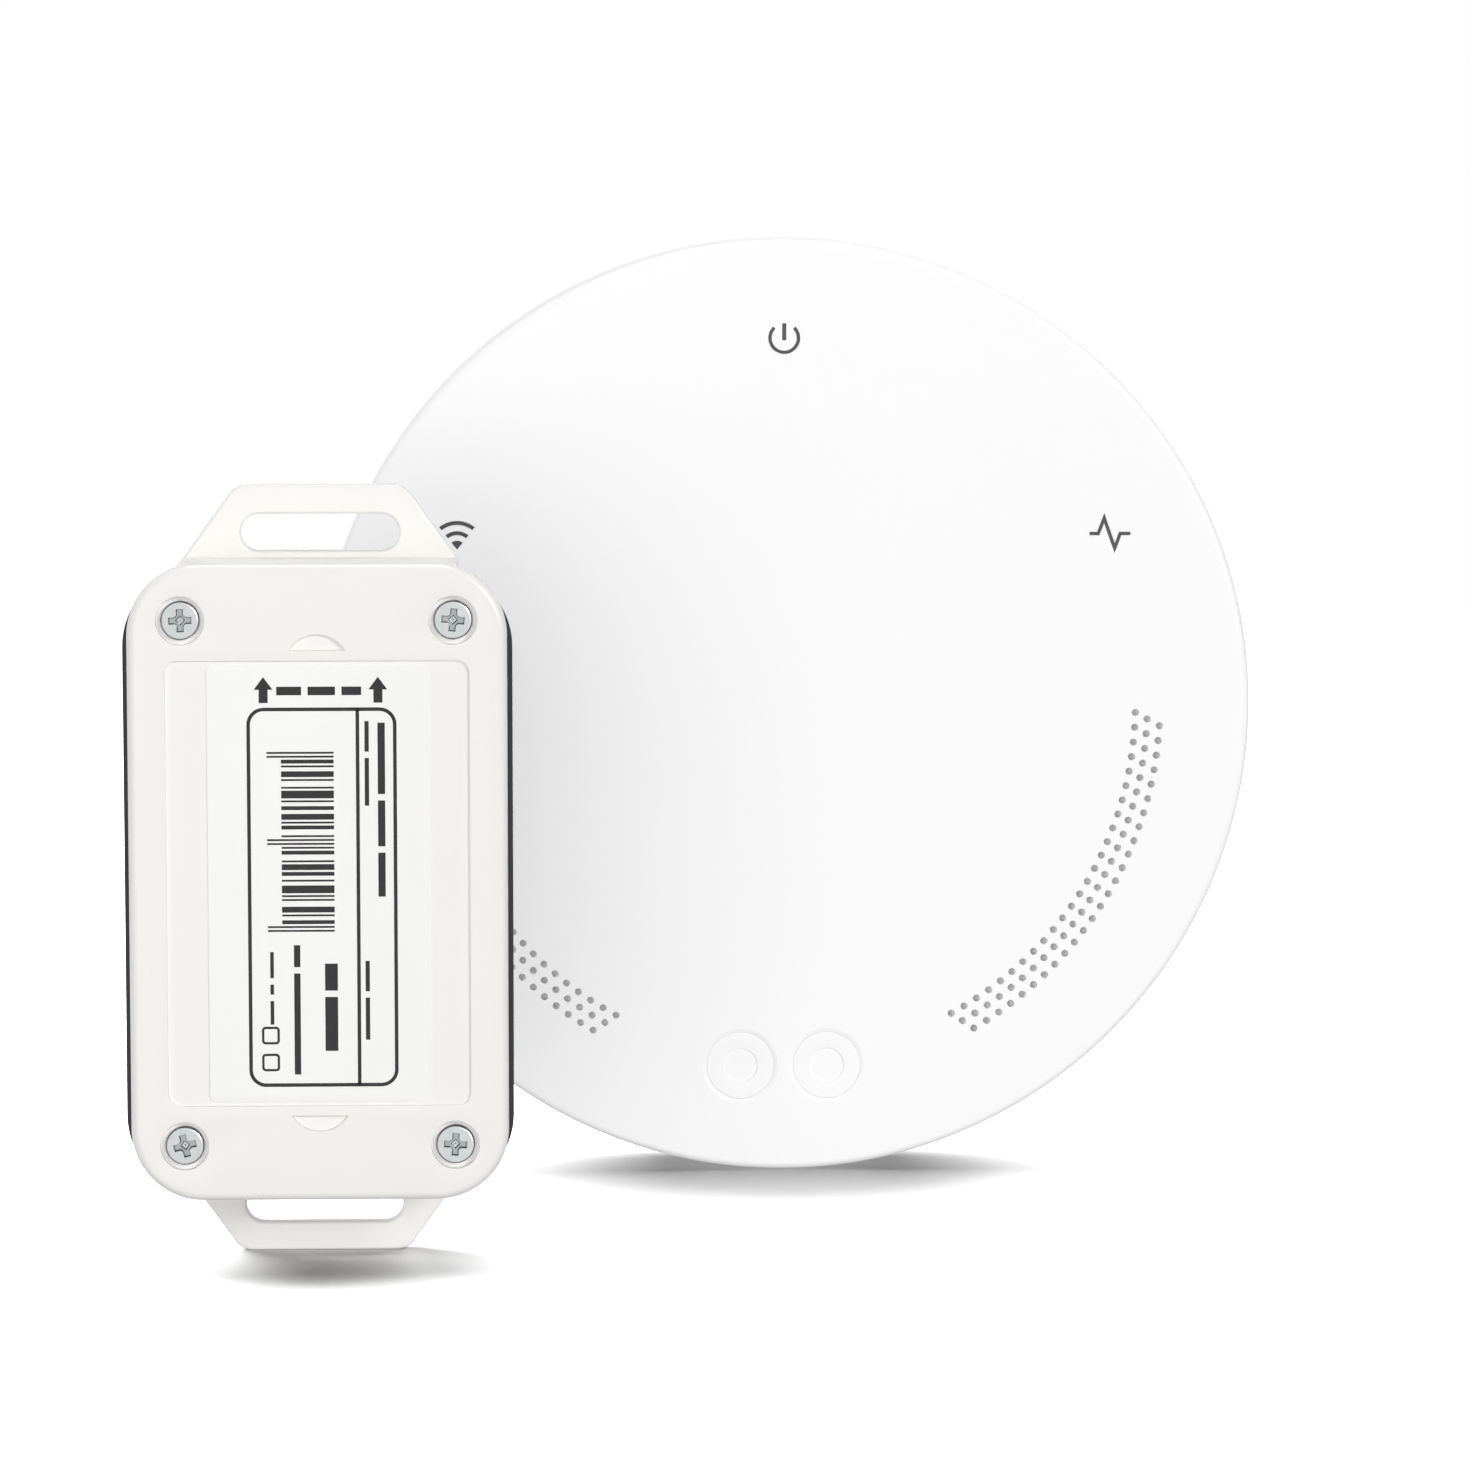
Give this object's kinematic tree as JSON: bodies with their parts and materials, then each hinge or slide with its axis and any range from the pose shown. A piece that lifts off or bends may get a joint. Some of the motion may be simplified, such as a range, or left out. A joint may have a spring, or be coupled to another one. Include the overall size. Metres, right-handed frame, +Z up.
{
  "type": "garage door controller",
  "caption": "Round white wall hub with push buttons and lit symbols, and a slotted-ear tilt sensor that reports whether the garage door is open.",
  "frame": {"origin": "centre of the hub's wall face", "axes": "+Z up, +Y into the wall, so the hub's face and the sensor face -Y, +X to the viewer's right"},
  "size_m": [0.1402, 0.0935, 0.12],
  "materials": {
    "casing_white": "satin moulded",
    "button_white": "satin moulded",
    "symbol_grey": "smoked, lets light through",
    "speaker_cloth": "fine woven",
    "board_green": "solder mask",
    "screw_steel": "zinc plated",
    "tin_shield": "tin plated",
    "part_black": "moulded",
    "relay_blue": "moulded",
    "terminal_green": "moulded",
    "lamp_yellow": "clear over phosphor",
    "can_metal": "bare can",
    "contact_nickel": "nickel plated",
    "aerial_sleeve": "insulated wire",
    "sensor_white": "gloss moulded",
    "sensor_black": "gloss moulded",
    "gasket_rubber": "soft",
    "label_film": "printed film",
    "cell_wrap": "shrink sleeve",
    "tube_glass": "clear",
    "ball_gold": "gold plated",
    "pipe_clear": "clear moulded"
  },
  "bodies": {
    "hub": {"front_cover": "casing_white", "rear_shell": "casing_white", "main_board": "board_green", "case_screws": "screw_steel", "power_light_guide": "symbol_grey", "activity_light_guide": "symbol_grey", "wireless_light_guide": "symbol_grey", "status_leds": "lamp_yellow", "grille_cloth_left": "speaker_cloth", "grille_cloth_right": "speaker_cloth", "switch_body_left": "part_black", "switch_body_right": "part_black", "button_keeper": "part_black", "keeper_screws": "screw_steel", "wifi_module": "board_green", "wifi_shield": "tin_shield", "siren": "part_black", "sensor_receiver": "tin_shield", "receiver_aerial": "aerial_sleeve", "capacitors": "can_metal", "control_chip": "part_black", "relay": "relay_blue", "terminal_block": "terminal_green", "terminal_screws": "screw_steel", "power_jack": "part_black", "power_jack_pin": "contact_nickel"},
    "button_left": {"button_left": "button_white", "switch_plunger_left": "part_black"},
    "button_right": {"button_right": "button_white", "switch_plunger_right": "part_black"},
    "tilt_ball": {"tilt_switch_ball": "ball_gold"},
    "sensor": {"sensor_front_shell": "sensor_black", "sensor_back_cover": "sensor_white", "sensor_gasket": "gasket_rubber", "sensor_label": "label_film", "sensor_cover_screws": "screw_steel", "sensor_board": "board_green", "sensor_board_screws": "screw_steel", "battery_tray": "part_black", "battery_cell": "cell_wrap", "battery_contacts": "contact_nickel", "tilt_switch_tube": "tube_glass", "tilt_switch_cradle": "part_black", "sensor_radio_chip": "part_black", "sensor_chip_aerial": "pipe_clear", "sensor_led": "lamp_yellow", "sensor_light_pipe": "pipe_clear"}
  },
  "joints": [
    {"name": "button_left_press", "type": "slide", "parent": "hub", "child": "button_left", "axis": [0, 1, 0], "range_m": [0, 0.0005], "stiffness_N_per_m": 2000, "springref_m": -0.0002},
    {"name": "button_right_press", "type": "slide", "parent": "hub", "child": "button_right", "axis": [0, 1, 0], "range_m": [0, 0.0005], "stiffness_N_per_m": 2000, "springref_m": -0.0002},
    {"name": "sensor_tilt", "type": "hinge", "parent": "hub", "child": "sensor", "pos_m": [-0.0574, -0.0791, 0.0264], "axis": [-1, 0, 0], "range_deg": [0, 90]},
    {"name": "tilt_ball_roll", "type": "slide", "parent": "sensor", "child": "tilt_ball", "axis": [0, 0.7071, 0.7071], "range_m": [0, 0.0024]}
  ]
}
